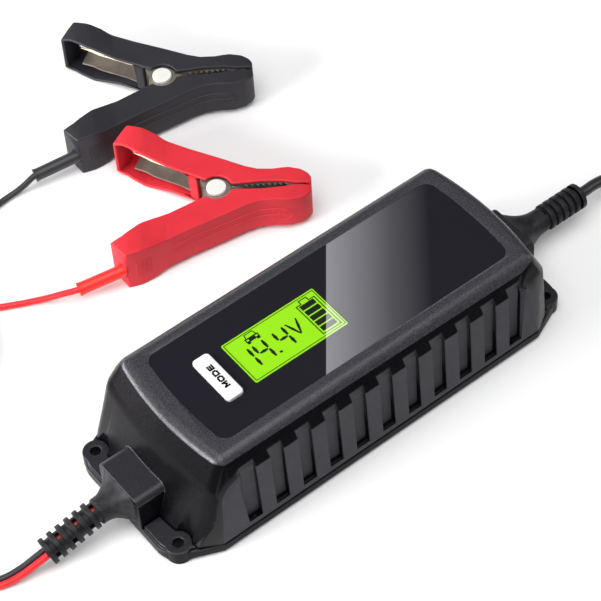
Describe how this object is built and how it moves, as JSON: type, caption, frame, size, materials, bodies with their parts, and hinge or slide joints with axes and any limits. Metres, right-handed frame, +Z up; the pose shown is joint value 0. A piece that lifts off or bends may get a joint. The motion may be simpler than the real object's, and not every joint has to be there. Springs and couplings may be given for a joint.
{
  "type": "car battery charger",
  "caption": "Ribbed plug-in car battery charger with a display, a mode button and mounting ears, a coiled mains lead with plug, and a twin lead with two sprung battery clamps.",
  "frame": {"origin": "centre of the casing's underside, on the surface the charger stands on", "axes": "+X along the casing from the battery lead's end to the mains lead's end, +Y across the casing towards the clamps, +Z up"},
  "size_m": [0.4412, 0.3342, 0.0506],
  "materials": {
    "casing": "fine grain, satin",
    "label": "gloss film",
    "window": "clear plastic",
    "lcd": "lit green",
    "button": "satin",
    "component": "moulded",
    "steel": "zinc plated",
    "circuit_board": "solder mask",
    "ribbon": "flat cable",
    "ferrite": "ferrite and tape",
    "copper": "enamelled wire",
    "capacitor": "shrink sleeve",
    "heatsink": "extruded",
    "fuse_glass": "clear",
    "black_rubber": "soft, matt",
    "red_rubber": "soft, satin",
    "twin_lead": "red and black cores",
    "plug_plastic": "moulded",
    "pin_metal": "bright nickel",
    "black_cover": "satin",
    "red_cover": "satin",
    "jaw_metal": "plated",
    "rivet_metal": "bright"
  },
  "bodies": {
    "charger": {"lower_casing": "casing", "upper_casing": "casing", "label_panel": "label", "lcd_window": "window", "lcd_module": "lcd", "button_switch": "steel", "display_board": "circuit_board", "display_ribbon": "ribbon", "main_board": "circuit_board", "transformer": "ferrite", "mains_choke": "copper", "bulk_capacitor": "capacitor", "output_capacitors": "capacitor", "heatsinks": "heatsink", "power_transistors": "component", "fuse": "fuse_glass", "mains_inner_wires": "black_rubber", "battery_inner_wires": "twin_lead", "casing_screws": "steel", "board_screws": "steel", "mains_strain_relief": "black_rubber", "battery_strain_relief": "black_rubber", "mains_cord": "black_rubber", "mains_coil": "black_rubber", "mains_coil_tie": "black_rubber", "mains_plug": "plug_plastic", "plug_pins": "pin_metal", "battery_lead": "twin_lead", "battery_coil": "twin_lead", "battery_coil_tie": "black_rubber", "black_wire": "black_rubber", "red_wire": "red_rubber", "black_sleeve": "black_rubber", "red_sleeve": "red_rubber", "black_fixed_cover": "black_cover", "black_fixed_jaw": "jaw_metal", "black_rivet": "rivet_metal", "black_spring": "steel", "black_crimp": "steel", "red_fixed_cover": "red_cover", "red_fixed_jaw": "jaw_metal", "red_rivet": "rivet_metal", "red_spring": "steel", "red_crimp": "steel"},
    "mode_button": {"mode_button": "button", "switch_stem": "component"},
    "black_arm": {"black_moving_cover": "black_cover", "black_moving_jaw": "jaw_metal"},
    "red_arm": {"red_moving_cover": "red_cover", "red_moving_jaw": "jaw_metal"}
  },
  "joints": [
    {"name": "mode_button_press", "type": "slide", "parent": "charger", "child": "mode_button", "axis": [0, 0, -1], "range_m": [0, 0.0006], "stiffness_N_per_m": 600, "springref_m": -0.0005},
    {"name": "black_clamp_open", "type": "hinge", "parent": "charger", "child": "black_arm", "pos_m": [0.0449, 0.1805, 0.0115], "axis": [0, 0, 1], "range_deg": [0, 45], "stiffness_Nm_per_rad": 0.5, "springref_deg": -22.92, "deforming": ["black_spring"]},
    {"name": "red_clamp_open", "type": "hinge", "parent": "charger", "child": "red_arm", "pos_m": [0.0218, 0.1062, 0.0115], "axis": [0, 0, 1], "range_deg": [0, 45], "stiffness_Nm_per_rad": 0.5, "springref_deg": -22.92, "deforming": ["red_spring"]}
  ]
}
